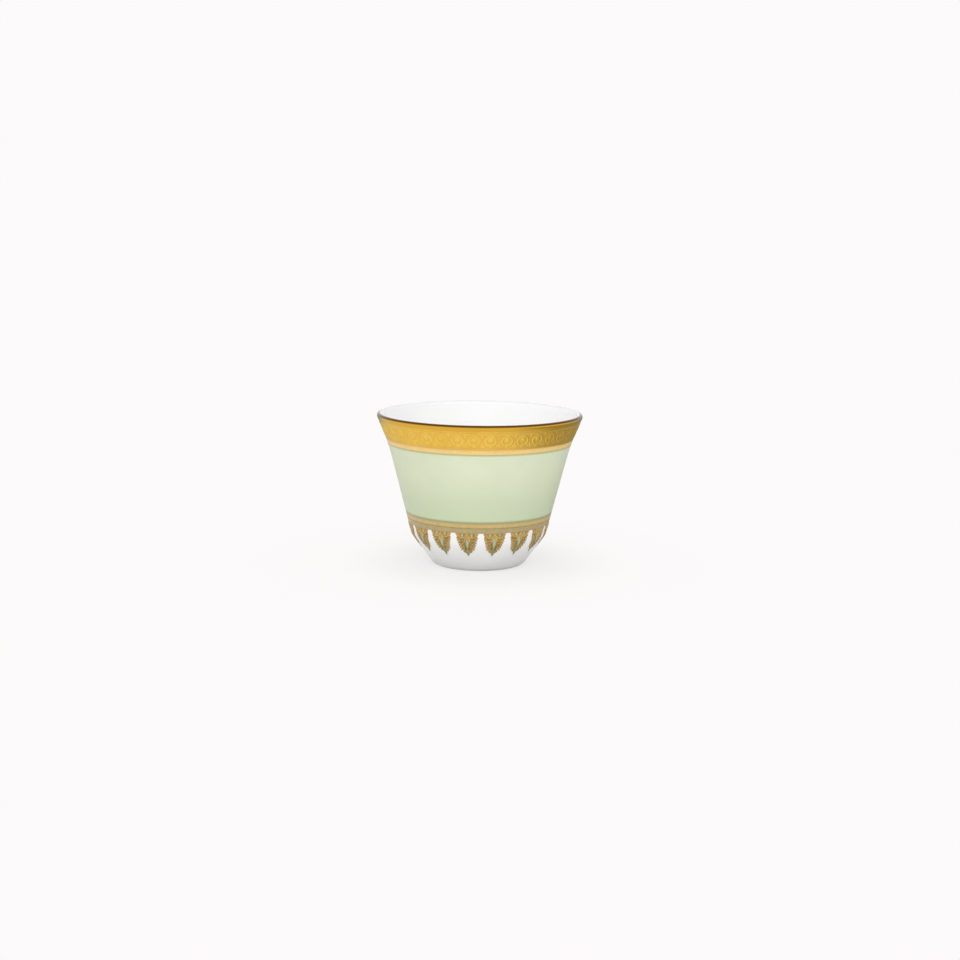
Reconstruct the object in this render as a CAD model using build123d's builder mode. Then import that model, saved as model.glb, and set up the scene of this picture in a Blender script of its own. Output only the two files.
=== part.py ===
# Small coffee cup without a handle: a thin flared porcelain bowl on a low foot ring, with fired
# layers of enamel and gold on its outside, a frieze of raised rings under the lip and a row of
# hanging leaves round the shoulder.
# The origin is the middle of the resting face, +Z runs up the axis, and the front faces -Y.
import os
from math import asin, cos, degrees, radians, sin, tan

from build123d import *

os.makedirs("parts", exist_ok=True)

# Bowl, in millimetres, with the lean of each wall in degrees from the vertical
cup_height = 48.8
foot_radius = 13.3
foot_corner_radius = 2.5
lower_wall_lean = 35.0
shoulder_height = 10.0
shoulder_radius = 4.5
upper_wall_lean = 14.4
flare_rise = 14.5
flare_radius = 70.0
wall_thickness = 2.0
floor_thickness = 2.6
floor_corner_radius = 5.5
inner_shoulder_radius = 7.0

# Foot ring and the shallow recess inside it
foot_face_width = 1.4
recess_depth = 1.1
recess_slope = 0.8
recess_corner_radius = 0.5

# Fired layers
enamel_thickness = 0.1
gold_thickness = 0.08
raised_thickness = 0.12

# Heights of the bands, counted down from the lip, whose crown is bare porcelain
bare_crown_height = 0.3
lip_gilding_height = 2.1
frieze_height = 4.8
gold_edge_height = 0.6
copper_line_height = 1.1
upper_keyline_height = 0.6

# Heights of the bands, counted up from the tops of the leaves
leaf_top_height = 13.7
border_height = 1.4
lower_keyline_height = 0.5
tan_line_height = 0.9
middle_keyline_height = 0.9

# Frieze of raised rings, each round a boss, with straight sides that are shorter than a millimetre
medallion_count = 38
medallion_turn = -3.1
frieze_margin = 0.45
medallion_ring_width = 0.5
medallion_boss_diameter = 1.6
ring_side_count = 12
boss_side_count = 8

# Hanging leaves, whose ornaments follow the leaf's half width and length
leaf_count = 16
leaf_turn = 2.0
leaf_half_width = 3.3
leaf_length = 6.3
leaf_lobe_count = 4
leaf_end_share = 0.45
leaf_taper_power = 1.4
leaf_lobe_share = 0.14
tip_length_share = 0.26
tip_half_width_share = 0.22
lens_top_share = 0.26
lens_widest_share = 0.42
lens_end_share = 0.94
lens_half_width_share = 0.18
curl_place_share = 0.53
curl_radius_share = 0.35
curl_width_share = 0.14
curl_side_count = 8
peak_end_share = 0.23
crown_gap_share = 0.04

# How far cutting shapes reach past what they cut
overrun = 5.0


# A unit vector square to a wall of this lean, pointing out of the bowl
def outward(lean):
    return Vector(cos(radians(lean)), -sin(radians(lean)))


# Centres of the arcs in the outline, with the radius as X and the height as Y
foot_centre = Vector(foot_radius, foot_corner_radius)
lower_start = foot_centre + outward(lower_wall_lean) * foot_corner_radius
shoulder_corner = Vector(
    lower_start.X + (shoulder_height - lower_start.Y) * tan(radians(lower_wall_lean)),
    shoulder_height,
)
corner_normals = outward(lower_wall_lean) + outward(upper_wall_lean)
corner_normals /= 1 + outward(lower_wall_lean).dot(outward(upper_wall_lean))
shoulder_centre = shoulder_corner - corner_normals * shoulder_radius
flare_height = cup_height - flare_rise
flare_start = Vector(
    shoulder_corner.X + (flare_height - shoulder_height) * tan(radians(upper_wall_lean)),
    flare_height,
)
flare_centre = flare_start + outward(upper_wall_lean) * flare_radius
lip_radius = wall_thickness / 2
lip_rise = cup_height - lip_radius - flare_centre.Y
lip_lean = degrees(asin(lip_rise / (flare_radius + lip_radius)))
lip_centre = flare_centre - outward(lip_lean) * (flare_radius + lip_radius)

# Heights of the edges between the bands
gilding_top = cup_height - bare_crown_height
frieze_top = gilding_top - lip_gilding_height
frieze_bottom = frieze_top - frieze_height
gold_bottom = frieze_bottom - gold_edge_height
copper_bottom = gold_bottom - copper_line_height
ground_top = copper_bottom - upper_keyline_height
border_top = leaf_top_height + border_height
tan_bottom = border_top + lower_keyline_height
tan_top = tan_bottom + tan_line_height
ground_bottom = tan_top + middle_keyline_height


# The outside of the bowl from foot to crown, moved out by the thickness of the layers on it
def draw_outside(layers):
    foot_arc = CenterArc(foot_centre, foot_corner_radius + layers, -90, 90 - lower_wall_lean)
    shoulder_arc = CenterArc(
        shoulder_centre,
        shoulder_radius + layers,
        -lower_wall_lean,
        lower_wall_lean - upper_wall_lean,
    )
    flare_arc = CenterArc(
        flare_centre, flare_radius - layers, 180 - upper_wall_lean, upper_wall_lean - lip_lean
    )
    Line(foot_arc @ 1, shoulder_arc @ 0)
    Line(shoulder_arc @ 1, flare_arc @ 0)
    CenterArc(lip_centre, lip_radius + layers, -lip_lean, 90 + lip_lean)


# A ring of one fired layer: the strip between two offsets of the outside, cut at two heights
def fired_ring(inner, outer, bottom, top):
    with BuildPart() as ring:
        with BuildSketch(Plane.XZ):
            with BuildLine():
                draw_outside(inner)
                draw_outside(outer)
                Line((foot_radius, -inner), (foot_radius, -outer))
                Line((lip_centre.X, cup_height + inner), (lip_centre.X, cup_height + outer))
            make_face()
            with Locations((0, (bottom + top) / 2)):
                Rectangle(2 * (lip_centre.X + overrun), top - bottom, mode=Mode.INTERSECT)
        revolve(axis=Axis.Z)
    return ring.part


# Porcelain body, one turned shape from the foot ring to the rounded lip
with BuildPart() as porcelain_body:
    with BuildSketch(Plane.XZ):
        with BuildLine():
            draw_outside(0)
            CenterArc(lip_centre, lip_radius, 90, 90 - lip_lean)
            inner_flare_arc = CenterArc(
                flare_centre,
                flare_radius + wall_thickness,
                180 - lip_lean,
                lip_lean - upper_wall_lean,
            )
            floor_height = recess_depth + floor_thickness
            inner_corner = shoulder_corner - corner_normals * wall_thickness
            inner_drop = inner_corner.Y - floor_height
            floor_edge = inner_corner.X - inner_drop * tan(radians(lower_wall_lean))
            FilletPolyline(
                inner_flare_arc @ 1,
                inner_corner,
                (floor_edge, floor_height),
                (0, floor_height),
                radius=[inner_shoulder_radius, floor_corner_radius],
            )
            recess_edge = foot_radius - foot_face_width
            Line((0, floor_height), (0, recess_depth))
            FilletPolyline(
                (0, recess_depth),
                (recess_edge - recess_slope, recess_depth),
                (recess_edge, 0),
                radius=recess_corner_radius,
            )
            Line((recess_edge, 0), (foot_radius, 0))
        make_face()
    revolve(axis=Axis.Z)
porcelain_body.part.label = "porcelain_body"
export_step(porcelain_body.part, "parts/porcelain_body.step")

# Plain rings of one colour: each one's thickness and the heights between which it lies
bands = {
    "lip_gilding": (gold_thickness, frieze_top, gilding_top),
    "frieze_ground": (gold_thickness, frieze_bottom, frieze_top),
    "gold_edge_line": (gold_thickness, gold_bottom, frieze_bottom),
    "copper_line": (enamel_thickness, copper_bottom, gold_bottom),
    "upper_keyline": (enamel_thickness, ground_top, copper_bottom),
    "mint_ground": (enamel_thickness, ground_bottom, ground_top),
    "middle_keyline": (enamel_thickness, tan_top, ground_bottom),
    "tan_line": (enamel_thickness, tan_bottom, tan_top),
    "lower_keyline": (enamel_thickness, border_top, tan_bottom),
    "leaf_border": (enamel_thickness, leaf_top_height, border_top),
}
for name, (thickness, bottom, top) in bands.items():
    with BuildPart() as band:
        add(fired_ring(0, thickness, bottom, top))
    band.part.label = name
    export_step(band.part, f"parts/{name}.step")

# Plane that lies on the wall at the middle of the frieze, at the front of the cup
frieze_middle = (frieze_bottom + frieze_top) / 2
frieze_lean = degrees(asin((frieze_middle - flare_centre.Y) / flare_radius))
frieze_point = flare_centre - outward(frieze_lean) * flare_radius
frieze_normal = outward(frieze_lean)
frieze_plane = Plane(
    origin=(0, -frieze_point.X, frieze_point.Y),
    x_dir=(1, 0, 0),
    z_dir=(0, -frieze_normal.X, frieze_normal.Y),
)
medallion_radius = frieze_height / 2 - frieze_margin

# One medallion at the front, which the frieze repeats
with BuildPart() as medallion:
    add(fired_ring(gold_thickness, gold_thickness + raised_thickness, frieze_bottom, frieze_top))
    with BuildSketch(frieze_plane):
        RegularPolygon(medallion_radius, ring_side_count)
        RegularPolygon(
            medallion_radius - medallion_ring_width, ring_side_count, mode=Mode.SUBTRACT
        )
        RegularPolygon(medallion_boss_diameter / 2, boss_side_count)
    extrude(amount=medallion_radius, both=True, mode=Mode.INTERSECT)

with BuildPart() as frieze_medallions:
    with PolarLocations(0, medallion_count, start_angle=medallion_turn):
        add(medallion.part)
frieze_medallions.part.label = "frieze_medallions"
export_step(frieze_medallions.part, "parts/frieze_medallions.step")

# Leaf at the front, drawn as it is seen from the side: a row of lobes down each edge, which draws
# in faster on the way down
leaf_bottom = leaf_top_height - leaf_length
leaf_reach = shoulder_corner.X + overrun
with BuildPart() as leaf_blank:
    add(fired_ring(0, enamel_thickness, leaf_bottom, leaf_top_height))
    with BuildSketch(Plane.XZ):
        with BuildLine():
            lobe_start = Vector(leaf_half_width, leaf_top_height)
            Line((0, leaf_top_height), lobe_start)
            for lobe in range(leaf_lobe_count):
                down = (lobe + 1) / leaf_lobe_count
                lobe_end = Vector(
                    leaf_half_width * (1 - (1 - leaf_end_share) * down**leaf_taper_power),
                    leaf_top_height - leaf_length * down,
                )
                lobe_bulge = (lobe_end - lobe_start).length * leaf_lobe_share
                SagittaArc(lobe_start, lobe_end, -lobe_bulge)
                lobe_start = lobe_end
            Line(lobe_start, (0, leaf_bottom))
            mirror(about=Plane.YZ)
        make_face()
    extrude(amount=leaf_reach, mode=Mode.INTERSECT)

# Green point under the blunt end of the leaf
with BuildPart() as tip_blank:
    tip_end = leaf_bottom - leaf_length * tip_length_share
    tip_half_width = leaf_half_width * tip_half_width_share
    add(fired_ring(0, enamel_thickness, tip_end, leaf_bottom))
    with BuildSketch(Plane.XZ):
        with BuildLine():
            Line((0, leaf_bottom), (tip_half_width, leaf_bottom))
            Bezier((tip_half_width, leaf_bottom), (tip_half_width, tip_end), (0, tip_end))
            mirror(about=Plane.YZ)
        make_face()
    extrude(amount=leaf_reach, mode=Mode.INTERSECT)

# Pale lens raised on the middle of the leaf
with BuildPart() as lens_blank:
    lens_top = leaf_top_height - leaf_length * lens_top_share
    lens_widest = leaf_top_height - leaf_length * lens_widest_share
    lens_end = leaf_top_height - leaf_length * lens_end_share
    lens_pull = 2 * leaf_half_width * lens_half_width_share
    raised_face = enamel_thickness + raised_thickness
    add(fired_ring(enamel_thickness, raised_face, lens_end, lens_top))
    with BuildSketch(Plane.XZ):
        with BuildLine():
            Bezier((0, lens_top), (lens_pull, lens_widest), (0, lens_end))
            mirror(about=Plane.YZ)
        make_face()
    extrude(amount=leaf_reach, mode=Mode.INTERSECT)

# Crown raised along the top of the leaf: two curls that hang open at the top, and a peak between
with BuildPart() as crown_blank:
    crown_top = leaf_top_height - leaf_length * crown_gap_share
    curl_place = leaf_half_width * curl_place_share
    curl_radius = leaf_half_width * curl_radius_share
    curl_width = leaf_half_width * curl_width_share
    peak_end = leaf_top_height - leaf_length * peak_end_share
    add(fired_ring(enamel_thickness, raised_face, leaf_bottom, crown_top))
    with BuildSketch(Plane.XZ):
        with Locations((-curl_place, crown_top), (curl_place, crown_top)):
            RegularPolygon(curl_radius, curl_side_count)
            RegularPolygon(curl_radius - curl_width, curl_side_count, mode=Mode.SUBTRACT)
        with BuildLine():
            Polyline(
                (0, crown_top),
                (curl_place - curl_radius, crown_top),
                (0, peak_end),
                (curl_radius - curl_place, crown_top),
                close=True,
            )
        make_face()
    extrude(amount=leaf_reach, mode=Mode.INTERSECT)

# Sixteen leaves, with a gap between two of them near the front
leaf_pitch = 360 / leaf_count
first_leaf_angle = leaf_turn + leaf_pitch / 2
for place in range(leaf_count):
    name = f"leaf_{place + 1:02d}"
    with BuildPart() as leaf:
        add(leaf_blank.part, rotation=(0, 0, first_leaf_angle + leaf_pitch * place))
    leaf.part.label = name
    export_step(leaf.part, f"parts/{name}.step")

ornaments = {"leaf_tips": tip_blank, "leaf_lenses": lens_blank, "leaf_crowns": crown_blank}
for name, blank in ornaments.items():
    with BuildPart() as ornament:
        with PolarLocations(0, leaf_count, start_angle=first_leaf_angle):
            add(blank.part)
    ornament.part.label = name
    export_step(ornament.part, f"parts/{name}.step")
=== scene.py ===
import math

import bmesh
import bpy
from mathutils import Matrix, Vector


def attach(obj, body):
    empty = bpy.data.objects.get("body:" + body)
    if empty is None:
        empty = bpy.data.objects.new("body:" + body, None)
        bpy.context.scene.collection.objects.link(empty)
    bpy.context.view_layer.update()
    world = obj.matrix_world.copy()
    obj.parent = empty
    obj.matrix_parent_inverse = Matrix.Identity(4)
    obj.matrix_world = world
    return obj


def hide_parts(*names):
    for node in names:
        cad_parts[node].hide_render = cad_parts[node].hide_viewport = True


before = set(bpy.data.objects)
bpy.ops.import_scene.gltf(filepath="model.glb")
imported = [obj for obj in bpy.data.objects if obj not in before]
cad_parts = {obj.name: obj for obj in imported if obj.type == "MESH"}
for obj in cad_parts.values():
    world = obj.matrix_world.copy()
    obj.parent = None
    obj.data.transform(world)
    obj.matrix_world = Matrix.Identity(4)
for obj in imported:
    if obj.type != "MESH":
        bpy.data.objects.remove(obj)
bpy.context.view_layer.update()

# The outside of the bowl, in metres and radians, as the frame has it
wallLook = {
    "height": 0.0488,
    "footRadius": 0.0133, "footCorner": 0.0025, "lowerLean": math.radians(35.0),
    "shoulderHeight": 0.010, "shoulderRadius": 0.0045, "upperLean": math.radians(14.4),
    "flareRise": 0.0145, "flareRadius": 0.070,
}


def outward(lean):
    return Vector((math.cos(lean), -math.sin(lean)))


def planWall():
    low, high = wallLook["lowerLean"], wallLook["upperLean"]
    lowerStart = Vector((wallLook["footRadius"], wallLook["footCorner"]))
    lowerStart += outward(low) * wallLook["footCorner"]
    shoulder = wallLook["shoulderHeight"]
    corner = Vector((lowerStart.x + (shoulder - lowerStart.y) * math.tan(low), shoulder))
    between = (outward(low) + outward(high)) / (1 + outward(low).dot(outward(high)))
    flareHeight = wallLook["height"] - wallLook["flareRise"]
    flareStart = Vector((corner.x + (flareHeight - shoulder) * math.tan(high), flareHeight))
    return {
        "lowerStart": lowerStart, "corner": corner,
        "shoulderCentre": corner - between * wallLook["shoulderRadius"],
        "flareStart": flareStart,
        "flareCentre": flareStart + outward(high) * wallLook["flareRadius"],
    }


wallPlan = planWall()


# Radius and lean of the porcelain wall at a height
def wallAt(height):
    low, high = wallLook["lowerLean"], wallLook["upperLean"]
    bend, flare = wallLook["shoulderRadius"], wallLook["flareRadius"]
    centre, far = wallPlan["shoulderCentre"], wallPlan["flareCentre"]
    if height > wallPlan["flareStart"].y:
        lean = math.asin((height - far.y) / flare)
        return far.x - flare * math.cos(lean), lean
    if height > centre.y - bend * math.sin(high):
        return wallPlan["corner"].x + (height - wallPlan["corner"].y) * math.tan(high), high
    if height > centre.y - bend * math.sin(low):
        lean = math.asin((centre.y - height) / bend)
        return centre.x + bend * math.cos(lean), lean
    start = wallPlan["lowerStart"]
    return start.x + (height - start.y) * math.tan(low), low


# A point over the wall, given as it is seen from the front and turned about the axis
def wallPoint(across, height, rise, turn=0.0):
    radius, lean = wallAt(height)
    angle = math.asin(across / radius) + turn
    reach = radius + rise * math.cos(lean)
    return Vector((
        reach * math.sin(angle), -reach * math.cos(angle), height - rise * math.sin(lean),
    ))


# Colours are given as they look on a screen
def tone(red, green, blue):
    parts = (value / 255 for value in (red, green, blue))
    return (*(p / 12.92 if p <= 0.04045 else ((p + 0.055) / 1.055) ** 2.4 for p in parts), 1.0)


def setInputs(tree, node, inputs):
    for key, value in (inputs or {}).items():
        if isinstance(value, bpy.types.NodeSocket):
            tree.links.new(value, node.inputs[key])
        else:
            node.inputs[key].default_value = value
    return node


def addNode(tree, kind, inputs=None, **settings):
    node = tree.nodes.new("ShaderNode" + kind)
    for key, value in settings.items():
        setattr(node, key, value)
    return setInputs(tree, node, inputs)


def mixColours(tree, factor, first, second):
    node = addNode(tree, "Mix", {"Factor": factor, 6: first, 7: second}, data_type="RGBA")
    return node.outputs[2]


def newGroup(name, inputs, outputs):
    group = bpy.data.node_groups.new(name, "ShaderNodeTree")
    for label, (kind, value) in inputs.items():
        socket = group.interface.new_socket(label, in_out="INPUT", socket_type=kind)
        socket.default_value = value
    for label, kind in outputs.items():
        group.interface.new_socket(label, in_out="OUTPUT", socket_type=kind)
    return group, group.nodes.new("NodeGroupInput"), group.nodes.new("NodeGroupOutput")


def useGroup(tree, group, inputs=None):
    node = tree.nodes.new("ShaderNodeGroup")
    node.node_tree = group
    return setInputs(tree, node, inputs)


number, colour, vector = "NodeSocketFloat", "NodeSocketColor", "NodeSocketVector"


# Slow unevenness of a fired surface with a finer grain over it, as a normal
def makeSurfaceWaver():
    group, given, result = newGroup("surfaceWaver", {
        "Scale": (number, 150.0), "Depth": (number, 0.00002),
        "Grain Scale": (number, 3000.0), "Grain Depth": (number, 0.000001),
    }, {"Normal": vector})
    place = addNode(group, "TexCoord").outputs["Object"]
    slow = addNode(group, "TexNoise", {
        "Vector": place, "Scale": given.outputs["Scale"], "Detail": 1.5})
    fine = addNode(group, "TexNoise", {
        "Vector": place, "Scale": given.outputs["Grain Scale"], "Detail": 2.0})
    first = addNode(group, "Bump", {
        "Height": slow.outputs["Fac"], "Distance": given.outputs["Depth"], "Strength": 1.0})
    second = addNode(group, "Bump", {
        "Height": fine.outputs["Fac"], "Distance": given.outputs["Grain Depth"],
        "Strength": 1.0, "Normal": first.outputs["Normal"]})
    group.links.new(second.outputs["Normal"], result.inputs["Normal"])
    return group


# Two tones of one pigment, mixed in soft clouds
def makePigmentClouds():
    group, given, result = newGroup("pigmentClouds", {
        "Tone": (colour, (1, 1, 1, 1)), "Shade": (colour, (0.5, 0.5, 0.5, 1)),
        "Scale": (number, 300.0), "Cover": (number, 0.5), "Softness": (number, 0.2),
    }, {"Color": colour, "Mask": number})
    place = addNode(group, "TexCoord").outputs["Object"]
    noise = addNode(group, "TexNoise", {
        "Vector": place, "Scale": given.outputs["Scale"], "Detail": 4.0, "Roughness": 0.6})
    span = {0: given.outputs["Cover"], 1: given.outputs["Softness"]}
    low = addNode(group, "Math", span, operation="SUBTRACT")
    high = addNode(group, "Math", span, operation="ADD")
    mask = addNode(group, "MapRange", {
        "Value": noise.outputs["Fac"], "From Min": low.outputs[0], "From Max": high.outputs[0],
    }, interpolation_type="SMOOTHSTEP").outputs["Result"]
    mixed = mixColours(group, mask, given.outputs["Tone"], given.outputs["Shade"])
    group.links.new(mixed, result.inputs["Color"])
    group.links.new(mask, result.inputs["Mask"])
    return group


# A mask that rises from one height to another
def makeHeightMask():
    group, given, result = newGroup("heightMask", {
        "Low": (number, 0.0), "High": (number, 0.05)}, {"Mask": number})
    place = addNode(group, "TexCoord").outputs["Object"]
    split = addNode(group, "SeparateXYZ", {"Vector": place})
    mask = addNode(group, "MapRange", {
        "Value": split.outputs["Z"], "From Min": given.outputs["Low"],
        "From Max": given.outputs["High"],
    }, interpolation_type="SMOOTHSTEP")
    group.links.new(mask.outputs["Result"], result.inputs["Mask"])
    return group


surfaceWaver = makeSurfaceWaver()
pigmentClouds = makePigmentClouds()
heightMask = makeHeightMask()


def newMaterial(name):
    material = bpy.data.materials.new(name)
    material.use_nodes = True
    tree = material.node_tree
    tree.nodes.clear()
    shader = addNode(tree, "BsdfPrincipled")
    addNode(tree, "OutputMaterial", {"Surface": shader.outputs[0]})
    return material, tree, shader


def addWaver(tree, shader, look):
    waver = useGroup(tree, surfaceWaver, {
        "Scale": look["waver"], "Depth": look["depth"],
        "Grain Scale": look["grain"], "Grain Depth": look["grainDepth"]})
    tree.links.new(waver.outputs["Normal"], shader.inputs["Normal"])


def addClouds(tree, look):
    return useGroup(tree, pigmentClouds, {
        "Tone": tone(*look["tone"]), "Shade": tone(*look["shade"]), "Scale": look["clouds"],
        "Cover": look["cover"], "Softness": look["softness"]})


# An enamel or gold layer: clouds of two tones, a slight waver, and its own gloss
def firedLayer(name, base, look):
    look = {**base, **look}
    material, tree, shader = newMaterial(name)
    clouds = addClouds(tree, look)
    tree.links.new(clouds.outputs["Color"], shader.inputs["Base Color"])
    rough = addNode(tree, "MapRange", {
        "Value": clouds.outputs["Mask"], "To Min": look["roughness"],
        "To Max": look["roughness"] * look["duller"]})
    tree.links.new(rough.outputs["Result"], shader.inputs["Roughness"])
    shader.inputs["Metallic"].default_value = look["metallic"]
    shader.inputs["Specular IOR Level"].default_value = look["specular"]
    shader.inputs["Specular Tint"].default_value = tone(*look["grazing"])
    addWaver(tree, shader, look)
    return material, tree, shader, clouds


# What every gilded layer and every enamel layer has, unless its own look says otherwise
goldLook = {
    "tone": (245, 207, 94), "shade": (236, 194, 82), "metallic": 1.0, "roughness": 0.36,
    "duller": 1.25, "specular": 0.5, "grazing": (214, 234, 236),
    "clouds": 200.0, "cover": 0.5, "softness": 0.25,
    "waver": 400.0, "depth": 0.000004, "grain": 4000.0, "grainDepth": 0.0000016,
}
enamelLook = {
    "metallic": 0.0, "roughness": 0.3, "duller": 1.25, "specular": 0.5, "grazing": (255, 255, 255),
    "clouds": 900.0, "cover": 0.5, "softness": 0.2,
    "waver": 600.0, "depth": 0.000006, "grain": 5000.0, "grainDepth": 0.000001,
}


def gold(name, look):
    return firedLayer(name, goldLook, look)[0]


def enamel(name, look):
    return firedLayer(name, enamelLook, look)[0]


# One colour below a height, another above it, with a soft change between the two heights
def fadeUp(tree, below, above, low, high):
    mask = useGroup(tree, heightMask, {"Low": low, "High": high})
    return mixColours(tree, mask.outputs["Mask"], below, above)


# Painted light in the porcelain: a grey reflection on the crown's top and a brown, metallic dark
# reflection on its outer side
porcelainLook = {
    "glaze": (243, 243, 242), "roughness": 0.12,
    "waver": 110.0, "depth": 0.00002, "grain": 1500.0, "grainDepth": 0.0000005,
    "bare": (216, 211, 202), "bareRoughness": 0.6, "bareLow": 0.0001, "bareHigh": 0.0004,
    "crown": (226, 226, 226), "crownLow": 0.0483, "crownHigh": 0.0486,
    "rimReflection": (100, 64, 22), "rimReflectionLow": 0.0475, "rimReflectionHigh": 0.0480,
    "rimReflectionIn": 0.0316, "rimReflectionOut": 0.0322,
}


# Glaze, bare clay under the foot, a painted grey reflection on the crown, and a brown painted dark
# reflection on the crown's outer side
def makePorcelain(look):
    material, tree, shader = newMaterial("whitePorcelain")
    place = addNode(tree, "TexCoord").outputs["Object"]
    flat = addNode(tree, "VectorMath", {0: place, 1: (1.0, 1.0, 0.0)}, operation="MULTIPLY")
    away = addNode(tree, "VectorMath", {0: flat.outputs[0]}, operation="LENGTH")
    outer = addNode(tree, "MapRange", {
        "Value": away.outputs["Value"], "From Min": look["rimReflectionIn"], "From Max": look["rimReflectionOut"],
    }, interpolation_type="SMOOTHSTEP")
    upper = useGroup(tree, heightMask, {"Low": look["rimReflectionLow"], "High": look["rimReflectionHigh"]})
    # Painted dark reflection: brown and metallic on the outer side of the crown
    rimReflection = addNode(tree, "Math", {
        0: outer.outputs["Result"], 1: upper.outputs["Mask"]}, operation="MULTIPLY").outputs[0]
    # Painted grey reflection on the top of the crown, over the white glaze
    glazeAndCrownReflection = fadeUp(
        tree, tone(*look["glaze"]), tone(*look["crown"]), look["crownLow"], look["crownHigh"])
    rimmed = mixColours(tree, rimReflection, glazeAndCrownReflection, tone(*look["rimReflection"]))
    foot = useGroup(tree, heightMask, {"Low": look["bareLow"], "High": look["bareHigh"]})
    mixed = mixColours(tree, foot.outputs["Mask"], tone(*look["bare"]), rimmed)
    rough = addNode(tree, "MapRange", {
        "Value": foot.outputs["Mask"], "To Min": look["bareRoughness"], "To Max": look["roughness"]})
    tree.links.new(mixed, shader.inputs["Base Color"])
    tree.links.new(rough.outputs["Result"], shader.inputs["Roughness"])
    tree.links.new(rimReflection, shader.inputs["Metallic"])
    addWaver(tree, shader, look)
    return material


# The edge colour is a painted dark reflection on the lip, and the under colour is painted shade in a
# band just below it
lipLook = {
    "tone": (238, 196, 86), "shade": (226, 180, 74), "roughness": 0.2,
    "edge": (100, 60, 16), "edgeLow": 0.0480, "edgeHigh": 0.0484,
    "under": (222, 174, 66), "lipShadeLow": 0.0467, "lipShadeHigh": 0.0471,
}


# Burnished lip gold, with a painted dark reflection as a brown line over the edge and painted shade
# in a darker band just below it
def makeLipGold(look):
    material, tree, shader, clouds = firedLayer("burnishedGold", goldLook, look)
    lipShaded = fadeUp(
        tree, clouds.outputs["Color"], tone(*look["under"]), look["lipShadeLow"], look["lipShadeHigh"])
    mixed = fadeUp(tree, lipShaded, tone(*look["edge"]), look["edgeLow"], look["edgeHigh"])
    tree.links.new(mixed, shader.inputs["Base Color"])
    return material


# Painted shade: the darker gold that fills the hollows of the relief
hollowShadeLook = {"tone": (234, 188, 84), "reach": 0.35}


# Frieze gold with painted shade: darker in the hollows of the relief
def makeFriezeGold(look):
    material, tree, shader, clouds = firedLayer("reliefGold", goldLook, {})
    depth = addNode(tree, "Attribute", attribute_name="relief")
    raised = addNode(tree, "MapRange", {
        "Value": depth.outputs["Fac"], "From Max": look["reach"], "To Min": 0.0, "To Max": 1.0})
    mixed = mixColours(tree, raised.outputs["Result"], tone(*look["tone"]), clouds.outputs["Color"])
    tree.links.new(mixed, shader.inputs["Base Color"])
    return material


# The low colour is painted shade, darker towards the foot
mintLook = {
    "tone": (216, 223, 195), "shade": (209, 217, 188), "specular": 0.15,
    "clouds": 70.0, "softness": 0.35, "waver": 160.0, "depth": 0.00001,
    "low": (197, 209, 177), "footShadeLow": 0.0174, "footShadeHigh": 0.036,
    "brim": (184, 186, 126), "brimLow": 0.0386, "brimHigh": 0.0393,
    "hem": (184, 190, 150), "hemLow": 0.0173, "hemHigh": 0.0180,
}


# Mint ground with painted shade that darkens it towards the foot, and with the olive of the thin
# lines bled into both edges
def makeMint(look):
    material, tree, shader, clouds = firedLayer("mintEnamel", enamelLook, look)
    ground = fadeUp(
        tree, tone(*look["low"]), clouds.outputs["Color"], look["footShadeLow"], look["footShadeHigh"])
    hemmed = fadeUp(tree, tone(*look["hem"]), ground, look["hemLow"], look["hemHigh"])
    mixed = fadeUp(tree, hemmed, tone(*look["brim"]), look["brimLow"], look["brimHigh"])
    tree.links.new(mixed, shader.inputs["Base Color"])
    return material


copperLook = {
    "tone": (238, 202, 126), "shade": (232, 190, 116),
    "edge": (222, 178, 88), "edgeLow": 0.0405, "edgeHigh": 0.0409,
}
upperKeyLook = {
    "tone": (188, 186, 124), "shade": (178, 174, 114),
    "edge": (236, 202, 130), "edgeLow": 0.0394, "edgeHigh": 0.0397,
}
middleKeyLook = {
    "tone": (196, 174, 116), "shade": (188, 166, 106),
    "edge": (164, 158, 114), "edgeLow": 0.0165, "edgeHigh": 0.0169,
}


# A thin line whose upper edge takes the colour of what lies over it
def makeEdged(name, look):
    material, tree, shader, clouds = firedLayer(name, enamelLook, look)
    mixed = fadeUp(
        tree, clouds.outputs["Color"], tone(*look["edge"]), look["edgeLow"], look["edgeHigh"])
    tree.links.new(mixed, shader.inputs["Base Color"])
    return material


borderLook = {
    "tone": (178, 161, 108), "shade": (174, 148, 114), "clouds": 700.0, "softness": 0.11,
    "fleck": (168, 160, 84), "fleckScale": 1100.0, "fleckCover": 0.66,
}


# Border over the leaves: two earthy tones with small green flecks
def makeBorder(look):
    material, tree, shader, clouds = firedLayer("taupeEnamel", enamelLook, look)
    flecks = useGroup(tree, pigmentClouds, {
        "Scale": look["fleckScale"], "Cover": look["fleckCover"], "Softness": look["softness"]})
    mixed = mixColours(
        tree, flecks.outputs["Mask"], clouds.outputs["Color"], tone(*look["fleck"]))
    tree.links.new(mixed, shader.inputs["Base Color"])
    return material


edgeGoldLook = {"tone": (235, 194, 100), "shade": (228, 186, 92)}
tanLook = {"tone": (204, 178, 114), "shade": (194, 166, 102)}
lowerKeyLook = {"tone": (166, 152, 96), "shade": (154, 138, 84)}
leafEnamelLook = {"tone": (166, 145, 84), "shade": (142, 121, 60), "softness": 0.14}

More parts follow.
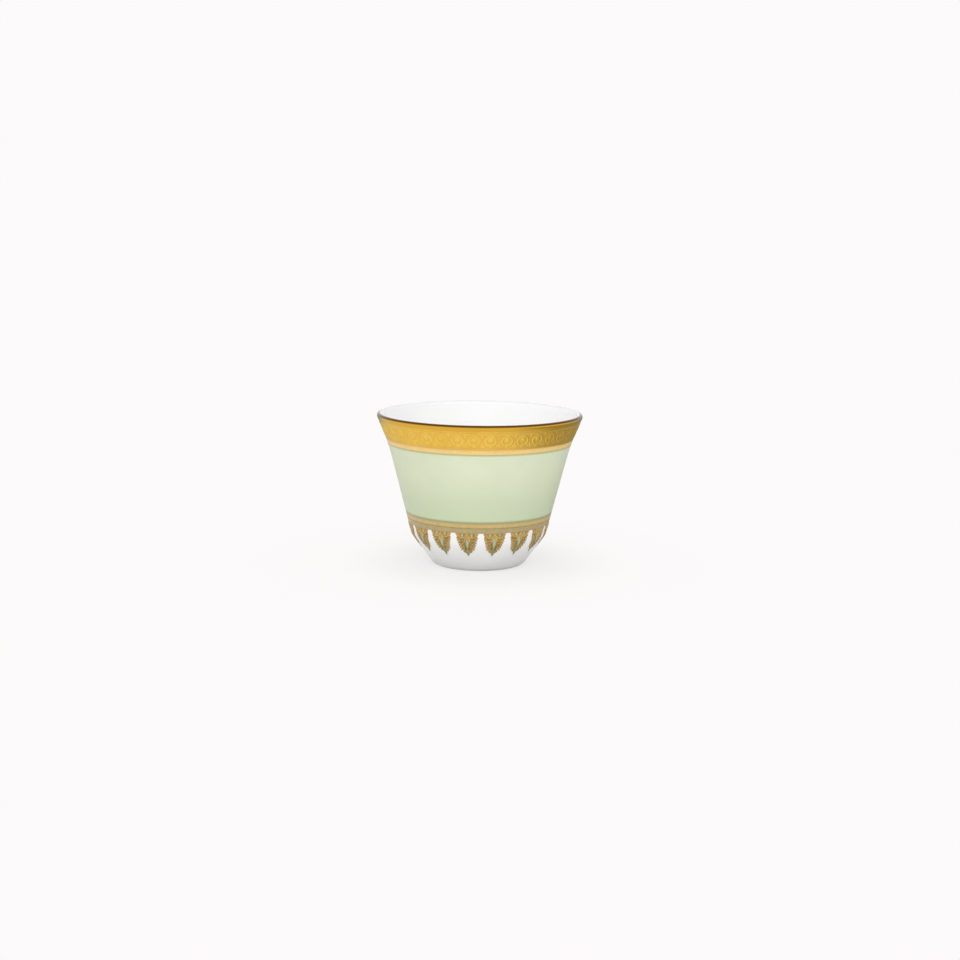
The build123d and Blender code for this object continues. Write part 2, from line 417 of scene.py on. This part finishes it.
friezeGold = makeFriezeGold(hollowShadeLook)
leafEnamel = enamel("leafEnamel", leafEnamelLook)
materials = {
    "porcelain_body": makePorcelain(porcelainLook),
    "lip_gilding": makeLipGold(lipLook),
    "frieze_ground": friezeGold,
    "frieze_medallions": friezeGold,
    "gold_edge_line": gold("edgeGold", edgeGoldLook),
    "copper_line": makeEdged("peachEnamel", copperLook),
    "upper_keyline": makeEdged("upperOlive", upperKeyLook),
    "mint_ground": makeMint(mintLook),
    "middle_keyline": makeEdged("middleOlive", middleKeyLook),
    "tan_line": enamel("tanEnamel", tanLook),
    "lower_keyline": enamel("lowerOlive", lowerKeyLook),
    "leaf_border": makeBorder(borderLook),
}

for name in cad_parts:
    piece = bpy.data.objects.get(name)
    if piece is None or piece.type != "MESH":
        continue
    piece.data.materials.clear()
    piece.data.materials.append(materials.get(name, leafEnamel))
print("materials are on the CAD nodes")


# A finished form becomes a piece that rides on the cup
def finishPiece(name, form, paint, slot, *nodes):
    mesh = bpy.data.meshes.new(name)
    bmesh.ops.recalc_face_normals(form, faces=form.faces)
    for face in form.faces:
        face.smooth = True
    form.to_mesh(mesh)
    form.free()
    mesh.materials.append(paint)
    piece = bpy.data.objects.new(name, mesh)
    bpy.context.collection.objects.link(piece)
    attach(piece, "root")
    if nodes:
        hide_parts(*nodes)


# Frieze in relief: sizes run across and up from the middle of a ring, or of the gap between two
friezeLook = {
    "bottom": 0.0416, "top": 0.0464, "layer": 0.00008, "ringMiddle": 0.04395,
    "count": 38, "turn": math.radians(-3.1), "columns": 36, "rows": 44,
    "ring": {"wide": 0.00168, "tall": 0.00166, "band": 0.00028, "pinch": 0.35, "rise": 0.00013},
    "boss": {"up": 0.0004, "radius": 0.00080, "rise": 0.00015},
    "stem": {"top": -0.0008, "bottom": -0.0025, "half": 0.00016, "rise": 0.00010},
    "foot": {"up": -0.00222, "radius": 0.00032, "rise": 0.00012},
    "drop": {"up": 0.00175, "wide": 0.00028, "tall": 0.00055, "rise": 0.00014},
    "petals": [
        {"across": 0.0, "up": -0.00135, "lean": 0.0, "wide": 0.00025, "tall": 0.00085},
        {"across": 0.00052, "up": -0.00178, "lean": 0.75, "wide": 0.00022, "tall": 0.00058},
        {"across": -0.00052, "up": -0.00178, "lean": -0.75, "wide": 0.00022, "tall": 0.00058},
    ],
    "petalRise": 0.00012,
    "edgeLines": [{"up": 0.00238, "half": 0.00014}, {"up": -0.00245, "half": 0.00014}],
    "edgeLineRise": 0.00008,
}


# 1 in the middle of a round form, falling to 0 at its edge
def dome(distance):
    return math.sqrt(max(0.0, 1.0 - distance * distance))


# Height of the relief over the gold ground
def reliefAt(across, up):
    look = friezeLook
    ring, boss, stem, foot = look["ring"], look["boss"], look["stem"], look["foot"]
    pinch = 1.0 + ring["pinch"] * max(0.0, up / ring["tall"]) ** 2
    reach = math.hypot(across * pinch / ring["wide"], up / ring["tall"])
    rises = [
        ring["rise"] * dome((reach - 1.0) * ring["wide"] / ring["band"]),
        boss["rise"] * dome(math.hypot(across, up - boss["up"]) / boss["radius"]),
        foot["rise"] * dome(math.hypot(across, up - foot["up"]) / foot["radius"]),
    ]
    if stem["bottom"] < up < stem["top"]:
        rises.append(stem["rise"] * dome(across / stem["half"]))
    return max(rises)


# What stands between two rings, a drop above and three petals below, and the two edge lines
def reliefBetween(across, up):
    look = friezeLook
    drop = look["drop"]
    reach = math.hypot(across / drop["wide"], (up - drop["up"]) / drop["tall"])
    rises = [drop["rise"] * dome(reach)]
    for petal in look["petals"]:
        side, over = across - petal["across"], up - petal["up"]
        turned = side * math.cos(petal["lean"]) - over * math.sin(petal["lean"])
        along = side * math.sin(petal["lean"]) + over * math.cos(petal["lean"])
        reach = math.hypot(turned / petal["wide"], along / petal["tall"])
        rises.append(look["petalRise"] * dome(reach))
    for line in look["edgeLines"]:
        rises.append(look["edgeLineRise"] * dome((up - line["up"]) / line["half"]))
    return max(rises)


# The gilded band as one closed skin. Each point keeps its relief for the painted shade in the
# hollows
def makeFrieze():
    look = friezeLook
    form = bmesh.new()
    depth = form.verts.layers.float.new("relief")
    step = 2 * math.pi / (look["count"] * look["columns"])
    pitch = step * look["columns"]
    leanMiddle = wallAt(look["ringMiddle"])[1]
    columns = []
    for index in range(look["count"] * look["columns"]):
        offset = (index % look["columns"]) * step
        if offset > pitch / 2:
            offset -= pitch
        between = offset - math.copysign(pitch / 2, offset)
        angle = look["turn"] + index * step
        column = []
        for row in range(look["rows"] + 1):
            height = look["bottom"] + (look["top"] - look["bottom"]) * row / look["rows"]
            radius = wallAt(height)[0]
            up = (height - look["ringMiddle"]) / math.cos(leanMiddle)
            rise = max(reliefAt(offset * radius, up), reliefBetween(between * radius, up))
            if row in (0, look["rows"]):
                rise = 0.0
            vertex = form.verts.new(wallPoint(0.0, height, look["layer"] + rise, angle))
            vertex[depth] = rise / look["ring"]["rise"]
            column.append(vertex)
        for height in (look["top"], look["bottom"]):
            column.append(form.verts.new(wallPoint(0.0, height, 0.0, angle)))
        columns.append(column)
    for first, second in zip(columns, columns[1:] + columns[:1]):
        for low in range(len(first)):
            high = (low + 1) % len(first)
            form.faces.new((first[low], second[low], second[high], first[high]))
    finishPiece(
        "friezeRelief", form, friezeGold, "bright_gold", "frieze_ground", "frieze_medallions")


makeFrieze()
print("frieze is in relief")

# The leaves as the frame has them. Strokes stand on a leaf's layer and are sunk into it a little
leafLook = {
    "count": 16, "turn": math.radians(2.0), "layer": 0.0001, "sunk": 0.00005,
    "top": 0.0137, "length": 0.0063, "halfWidth": 0.0033, "lobes": 4,
    "endShare": 0.45, "taperPower": 1.4, "lobeShare": 0.14,
}


def leafTurns():
    pitch = 2 * math.pi / leafLook["count"]
    return [leafLook["turn"] + pitch * (place + 0.5) for place in range(leafLook["count"])]


# A smooth run of points through the given ones
def smoothRun(points, steps=5):
    points = [Vector(point) for point in points]
    padded = [2 * points[0] - points[1], *points, 2 * points[-1] - points[-2]]
    run = []
    for before, start, end, after in zip(padded, padded[1:], padded[2:], padded[3:]):
        for step in range(steps):
            t = step / steps
            run.append(0.5 * (
                2 * start + (end - before) * t + (2 * before - 5 * start + 4 * end - after) * t**2
                + (3 * start - before - 3 * end + after) * t**3))
    return run + [points[-1]]


# A stroke's rounded top, as shares of its half width and of its rise
strokeTop = [(-1.0, 0.0), (-0.75, 0.62), (0.0, 1.0), (0.75, 0.62), (1.0, 0.0)]


# One raised stroke of enamel: a rounded ribbon that follows the wall, closed underneath
def addStroke(form, points, base, rise, turn, mirrored=False):
    run = smoothRun(points)
    under = base - leafLook["sunk"]
    loops = []
    for index, point in enumerate(run):
        ahead = run[min(index + 1, len(run) - 1)] - run[max(index - 1, 0)]
        side = Vector((-ahead.y, ahead.x)).normalized() * point.z
        corners = [(share, base + rise * lift) for share, lift in strokeTop]
        corners += [(1.0, under), (-1.0, under)]
        loop = []
        for share, lift in corners:
            across, height = point.x + side.x * share, point.y + side.y * share
            across = -across if mirrored else across
            loop.append(form.verts.new(wallPoint(across, height, lift, turn)))
        loops.append(loop)
    for first, second in zip(loops, loops[1:]):
        for low in range(len(first)):
            high = (low + 1) % len(first)
            form.faces.new((first[low], first[high], second[high], second[low]))
    form.faces.new(loops[0])
    form.faces.new(list(reversed(loops[-1])))


# The same strokes on every leaf: one down its middle is made once, the others on both sides
def dressLeaves(name, look, strokes, slot, *nodes):
    paint = enamel(look["paint"], look)
    base = look.get("base", leafLook["layer"])
    form = bmesh.new()
    for turn in leafTurns():
        for points in strokes:
            addStroke(form, points, base, look["rise"], turn)
            if any(across > 0.0 for across, height, half in points):
                addStroke(form, points, base, look["rise"], turn, mirrored=True)
    finishPiece(name, form, paint, slot, *nodes)


# Half the leaf's width at a height, without its scallops
def leafHalf(height):
    look = leafLook
    down = (look["top"] - height) / look["length"]
    return look["halfWidth"] * (1 - (1 - look["endShare"]) * down ** look["taperPower"])


# The points of every stroke are its distance from the leaf's middle, its height and its half width
curlsLook = {
    "paint": "amberEnamel", "tone": (210, 172, 86), "shade": (188, 142, 64), "rise": 0.00016,
    "curl": [
        (0.00040, 0.01312, 0.00016), (0.00060, 0.01262, 0.00023), (0.00108, 0.01222, 0.00026),
        (0.00166, 0.01211, 0.00027), (0.00222, 0.01232, 0.00025), (0.00262, 0.01280, 0.00022),
        (0.00280, 0.01330, 0.00020), (0.00286, 0.01358, 0.00014),
    ],
    "peak": [
        (0.0, 0.01364, 0.00012), (0.0, 0.01340, 0.00030), (0.0, 0.01308, 0.00043),
        (0.0, 0.01276, 0.00030), (0.0, 0.01262, 0.00008),
    ],
}
dressLeaves(
    "leafCurls", curlsLook, [curlsLook["curl"], curlsLook["peak"]], "amber_enamel", "leaf_crowns")

lensLook = {
    "paint": "paleGreenEnamel", "tone": (174, 190, 150), "shade": (160, 176, 136), "rise": 0.00011,
    "lens": [
        (0.0, 0.01206, 0.00008), (0.0, 0.01150, 0.00034), (0.0, 0.01080, 0.00047),
        (0.0, 0.01000, 0.00042), (0.0, 0.00930, 0.00026), (0.0, 0.00870, 0.00008),
    ],
}
dressLeaves("leafLenses", lensLook, [lensLook["lens"]], "lens_enamel", "leaf_lenses")

pointLook = {
    "paint": "greenEnamel", "tone": (146, 154, 104), "shade": (122, 134, 82), "rise": 0.00003,
    "point": [
        (0.0, 0.00760, 0.00030), (0.0, 0.00735, 0.00056), (0.0, 0.00690, 0.00055),
        (0.0, 0.00640, 0.00038), (0.0, 0.00600, 0.00020), (0.0, 0.00578, 0.00006),
    ],
}
dressLeaves("leafPoints", pointLook, [pointLook["point"]], "green_enamel", "leaf_tips")

edgesLook = {
    "paint": "goldenEnamel", "tone": (196, 162, 88), "shade": (180, 136, 66), "rise": 0.00008,
    "inset": 0.00016, "half": 0.00015, "thinEnds": 0.6, "places": (0.06, 0.3, 0.5, 0.7, 0.94),
    "barbs": [
        [(0.00106, 0.01152, 0.00007), (0.00170, 0.01128, 0.00014), (0.00250, 0.01120, 0.00006)],
        [(0.00112, 0.01056, 0.00007), (0.00160, 0.01026, 0.00014), (0.00222, 0.01012, 0.00006)],
        [(0.00102, 0.00960, 0.00007), (0.00134, 0.00922, 0.00013), (0.00178, 0.00904, 0.00006)],
        [(0.00082, 0.00866, 0.00006), (0.00100, 0.00834, 0.00012), (0.00128, 0.00812, 0.00006)],
    ],
}


# A stroke just inside one scallop of the leaf's side
def lobeEdge(lobe, look):
    leaf = leafLook
    heights = [leaf["top"] - leaf["length"] * place / leaf["lobes"] for place in (lobe, lobe + 1)]
    ends = [Vector((leafHalf(height), height)) for height in heights]
    along = ends[1] - ends[0]
    out = Vector((-along.y, along.x)).normalized()
    bulge = along.length * leaf["lobeShare"]
    points = []
    for t in look["places"]:
        place = ends[0] + along * t + out * (-bulge * 4 * t * (1 - t) - look["inset"])
        fullness = look["thinEnds"] + (1 - look["thinEnds"]) * math.sin(math.pi * t)
        points.append((place.x, place.y, look["half"] * fullness))
    return points


lobeEdges = [lobeEdge(lobe, edgesLook) for lobe in range(leafLook["lobes"])]
dressLeaves("leafEdges", edgesLook, lobeEdges + edgesLook["barbs"], "leaf_enamel")

dropLook = {
    "paint": "greyGreenEnamel", "tone": (184, 192, 156), "shade": (164, 174, 134), "rise": 0.00012,
    "drop": [
        (0.00148, 0.01366, 0.00012), (0.00150, 0.01334, 0.00030), (0.00154, 0.01292, 0.00034),
        (0.00156, 0.01256, 0.00014),
    ],
}
dressLeaves("leafDrops", dropLook, [dropLook["drop"]], "green_enamel")

coralLook = {
    "paint": "coralEnamel", "tone": (232, 150, 108), "shade": (216, 132, 92), "rise": 0.00018,
    "tip": [(0.0, 0.01268, 0.00010), (0.0, 0.01250, 0.00022), (0.0, 0.01232, 0.00010)],
}
dressLeaves("leafCoralTips", coralLook, [coralLook["tip"]], "amber_enamel")

archLook = {
    "paint": "peachArchEnamel", "tone": (222, 176, 122), "shade": (212, 158, 98), "rise": 0.00012,
    "arch": [
        (0.00012, 0.01240, 0.00012), (0.00048, 0.01202, 0.00021), (0.00076, 0.01154, 0.00020),
        (0.00086, 0.01098, 0.00010),
    ],
}
dressLeaves("leafArches", archLook, [archLook["arch"]], "amber_enamel")

hollowsLook = {
    "paint": "darkOliveEnamel", "tone": (138, 114, 50), "shade": (118, 94, 40), "rise": 0.00005,
    "underCurl": [
        (0.00086, 0.01190, 0.00009), (0.00158, 0.01172, 0.00017), (0.00226, 0.01192, 0.00017),
        (0.00276, 0.01242, 0.00010),
    ],
    "besideLens": [
        (0.00074, 0.01060, 0.00006), (0.00078, 0.01000, 0.00014), (0.00062, 0.00940, 0.00012),
        (0.00050, 0.00905, 0.00005),
    ],
    "upperVein": [
        (0.00110, 0.01112, 0.00006), (0.00160, 0.01080, 0.00011), (0.00215, 0.01068, 0.00004),
    ],
    "lowerVein": [
        (0.00105, 0.01004, 0.00006), (0.00150, 0.00970, 0.00011), (0.00180, 0.00955, 0.00004),
    ],
}
hollows = [hollowsLook[part] for part in ("underCurl", "besideLens", "upperVein", "lowerVein")]
dressLeaves("leafHollows", hollowsLook, hollows, "leaf_enamel")

spotLook = {
    "paint": "brownEnamel", "tone": (132, 92, 56), "shade": (112, 76, 44), "rise": 0.00006,
    "spot": [
        (0.00048, 0.00890, 0.00008), (0.00060, 0.00848, 0.00022), (0.00056, 0.00806, 0.00010),
    ],
}
dressLeaves("leafBrownSpots", spotLook, [spotLook["spot"]], "leaf_enamel")

stemLook = {
    "paint": "stemGreenEnamel", "tone": (164, 166, 96), "shade": (142, 150, 84), "rise": 0.00010,
    "stem": [
        (0.0, 0.00960, 0.00010), (0.0, 0.00890, 0.00017), (0.0, 0.00790, 0.00016),
        (0.0, 0.00715, 0.00008),
    ],
}
dressLeaves("leafStems", stemLook, [stemLook["stem"]], "green_enamel")

# Shoulders and fringe widen the leaf past its CAD layer, so they stand on the wall itself
shoulderLook = {
    "paint": "orangeEnamel", "tone": (206, 158, 78), "shade": (188, 140, 66), "rise": 0.00013,
    "base": 0.0,
    "shoulder": [
        (0.00280, 0.01226, 0.00006), (0.00302, 0.01270, 0.00018), (0.00322, 0.01318, 0.00028),
        (0.00334, 0.01368, 0.00035),
    ],
}
dressLeaves("leafShoulders", shoulderLook, [shoulderLook["shoulder"]], "amber_enamel")

fringeLook = {
    "paint": "brownGoldEnamel", "tone": (176, 144, 82), "shade": (156, 124, 64), "rise": 0.00012,
    "base": 0.0,
    "hem": [
        (0.00140, 0.00752, 0.00006), (0.00116, 0.00730, 0.00019), (0.00080, 0.00714, 0.00025),
        (0.00046, 0.00700, 0.00016),
    ],
    "toothHeights": (0.0122, 0.0114, 0.0106, 0.0098, 0.0090, 0.0082),
    "tooth": [
        (-0.00044, 0.00044, 0.00012), (-0.00006, 0.00012, 0.00033), (0.00024, -0.00040, 0.00009),
    ],
}


# A tooth's points are given from the leaf's side at the tooth's height
def fringeTooth(height, look):
    side = leafHalf(height)
    return [(side + across, height + up, half) for across, up, half in look["tooth"]]


teeth = [fringeTooth(height, fringeLook) for height in fringeLook["toothHeights"]]
dressLeaves("leafFringe", fringeLook, [fringeLook["hem"]] + teeth, "leaf_enamel")
print("leaves have their ornament")

backdropTone = (252, 250, 250)


# Camera and glossy rays see the backdrop's own colour, whatever light there is
def backdropRays(tree):
    path = addNode(tree, "LightPath")
    seen = addNode(tree, "Math", {
        0: path.outputs["Is Camera Ray"], 1: path.outputs["Is Glossy Ray"]}, operation="MAXIMUM")
    return seen.outputs[0], path.outputs["Is Glossy Ray"]


# The matt floor goes over into the backdrop from near to far. The light that bounces off it carries
# a painted shadow close to the cup, and the floor that the gold mirrors carries painted shade on the
# right and at the back.
floorLook = {
    "radius": 4.0, "sides": 96, "near": 0.016, "far": 0.08, "nearGlow": 0.7,
    "pale": (236, 235, 235), "around": (250, 249, 248),
    "contactShadow": (185, 185, 184), "contactShadowNear": 0.013, "contactShadowFar": 0.028,
    "mirroredShade": (176, 174, 170), "mirroredShadeSide": (0.75, 0.66, 0.0), "mirroredShadeNear": -0.02, "mirroredShadeFar": 0.06,
}


# Floor, which is pale and matt near the cup and joins the backdrop further out
def makeFloor(look):
    material, tree, shader = newMaterial("paleFloor")
    output = shader.outputs[0].links[0].to_node
    tree.nodes.remove(shader)
    place = addNode(tree, "TexCoord").outputs["Object"]
    away = addNode(tree, "VectorMath", {0: place}, operation="LENGTH")
    rim = addNode(tree, "MapRange", {
        "Value": away.outputs["Value"], "From Min": look["near"], "From Max": look["far"],
        "To Min": look["nearGlow"]})
    seen, glossy = backdropRays(tree)
    # Painted shadow: the colour that bounces off the floor is darker close to the cup
    apart = addNode(tree, "MapRange", {
        "Value": away.outputs["Value"], "From Min": look["contactShadowNear"],
        "From Max": look["contactShadowFar"]})
    bounced = mixColours(
        tree, apart.outputs["Result"], tone(*look["contactShadow"]), tone(*look["around"]))
    matt = addNode(tree, "BsdfDiffuse", {
        "Color": mixColours(tree, seen, bounced, tone(*look["pale"]))})
    # Painted shade: the floor that the gold mirrors is darker on the right and at the back
    aside = addNode(tree, "VectorMath", {0: place, 1: look["mirroredShadeSide"]}, operation="DOT_PRODUCT")
    mirroredShade = addNode(tree, "MapRange", {
        "Value": aside.outputs["Value"], "From Min": look["mirroredShadeNear"], "From Max": look["mirroredShadeFar"]})
    mirrored = addNode(tree, "Math", {0: mirroredShade.outputs["Result"], 1: glossy}, operation="MULTIPLY")
    glow = addNode(tree, "Emission", {"Color": mixColours(
        tree, mirrored.outputs[0], tone(*backdropTone), tone(*look["mirroredShade"]))})
    both = addNode(tree, "Math", {0: rim.outputs["Result"], 1: seen}, operation="MULTIPLY")
    mix = addNode(tree, "MixShader", {0: both.outputs[0], 1: matt.outputs[0], 2: glow.outputs[0]})
    tree.links.new(mix.outputs[0], output.inputs["Surface"])
    mesh = bpy.data.meshes.new("floor")
    form = bmesh.new()
    bmesh.ops.create_circle(form, cap_ends=True, radius=look["radius"], segments=look["sides"])
    form.to_mesh(mesh)
    form.free()
    mesh.materials.append(material)
    floor = bpy.data.objects.new("floor", mesh)
    bpy.context.collection.objects.link(floor)


# The room's light grows along the slope, which points to the left
lightLook = {
    "roomTone": (250, 250, 252), "room": 0.667, "slope": (-0.075, 0.0, 0.0),
    "key": {"place": (0.02, -0.96, 0.60), "aim": (0.0, 0.0, 0.03), "size": 0.8, "power": 3.9},
    "top": {"place": (0.0, 0.0, 1.25), "aim": (0.0, 0.0, 0.0), "size": 0.8, "power": 5.45},
}


def makeWorld(look):
    world = bpy.data.worlds.new("studio")
    bpy.context.scene.world = world
    world.use_nodes = True
    tree = world.node_tree
    tree.nodes.clear()
    seen = backdropRays(tree)[0]
    way = addNode(tree, "TexCoord").outputs["Generated"]
    slope = addNode(tree, "VectorMath", {0: way, 1: look["slope"]}, operation="DOT_PRODUCT")
    strength = addNode(tree, "Math", {0: slope.outputs["Value"], 1: look["room"]})
    room = addNode(tree, "Background", {
        "Color": tone(*look["roomTone"]), "Strength": strength.outputs[0]})
    wall = addNode(tree, "Background", {"Color": tone(*backdropTone), "Strength": 1.0})
    mix = addNode(tree, "MixShader", {0: seen, 1: room.outputs[0], 2: wall.outputs[0]})
    addNode(tree, "OutputWorld", {"Surface": mix.outputs[0]})


def addLamp(name, look):
    lamp = bpy.data.lights.new(name, "AREA")
    lamp.shape = "DISK"
    lamp.size = look["size"]
    lamp.energy = look["power"]
    piece = bpy.data.objects.new(name, lamp)
    piece.location = look["place"]
    aim = Vector(look["aim"]) - Vector(look["place"])
    piece.rotation_euler = aim.to_track_quat("-Z", "Y").to_euler()
    piece.visible_glossy = False
    bpy.context.collection.objects.link(piece)


cameraLook = {
    "place": (0.0003, -0.571, 0.1215), "aim": (0.0003, 0.0, 0.0269),
    "lens": 67.5, "sensor": 36.0, "roll": math.radians(0.65),
}


def makeCamera(look):
    camera = bpy.data.cameras.new("camera")
    camera.lens = look["lens"]
    camera.sensor_width = look["sensor"]
    piece = bpy.data.objects.new("camera", camera)
    place = Vector(look["place"])
    turn = (Vector(look["aim"]) - place).to_track_quat("-Z", "Y").to_matrix().to_4x4()
    piece.matrix_world = Matrix.Translation(place) @ turn @ Matrix.Rotation(look["roll"], 4, "Z")
    bpy.context.collection.objects.link(piece)
    bpy.context.scene.camera = piece


makeFloor(floorLook)
makeWorld(lightLook)
addLamp("keyLamp", lightLook["key"])
addLamp("topLamp", lightLook["top"])
makeCamera(cameraLook)
bpy.context.scene.view_settings.view_transform = "Standard"
print("stage, light and camera are set")
